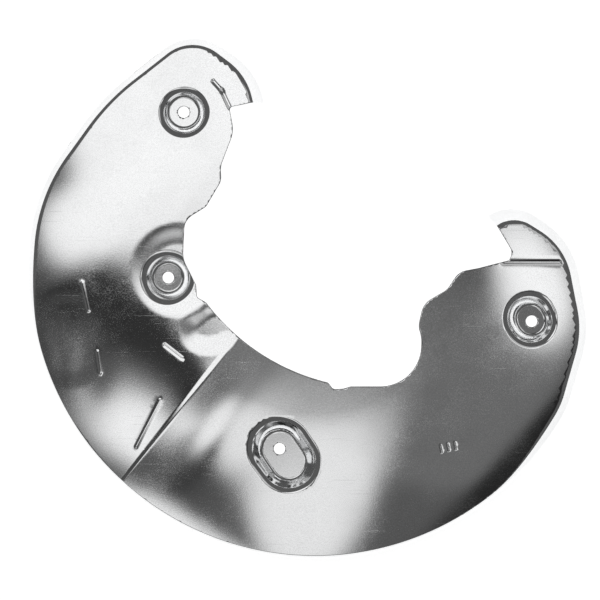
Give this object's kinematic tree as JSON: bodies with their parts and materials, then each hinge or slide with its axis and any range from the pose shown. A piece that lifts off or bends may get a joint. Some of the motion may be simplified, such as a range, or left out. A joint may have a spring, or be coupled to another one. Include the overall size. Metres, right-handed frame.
{
  "type": "brake dust shield",
  "caption": "C-shaped pressed sheet shield with a crowned face, flared skirt, sunk fixing cups and an open mouth for the caliper.",
  "frame": {"origin": "on the wheel axis, in the plane of the skirt's lower edge", "axes": "+Z along the wheel axis towards the crowned face, +Y up and +X right in the picture, with the caliper mouth between them"},
  "size_m": [0.3184, 0.2963, 0.0156],
  "materials": {
    "zinc_sheet": "bright zinc coat"
  },
  "bodies": {
    "root": {"dust_shield": "zinc_sheet"}
  },
  "joints": []
}
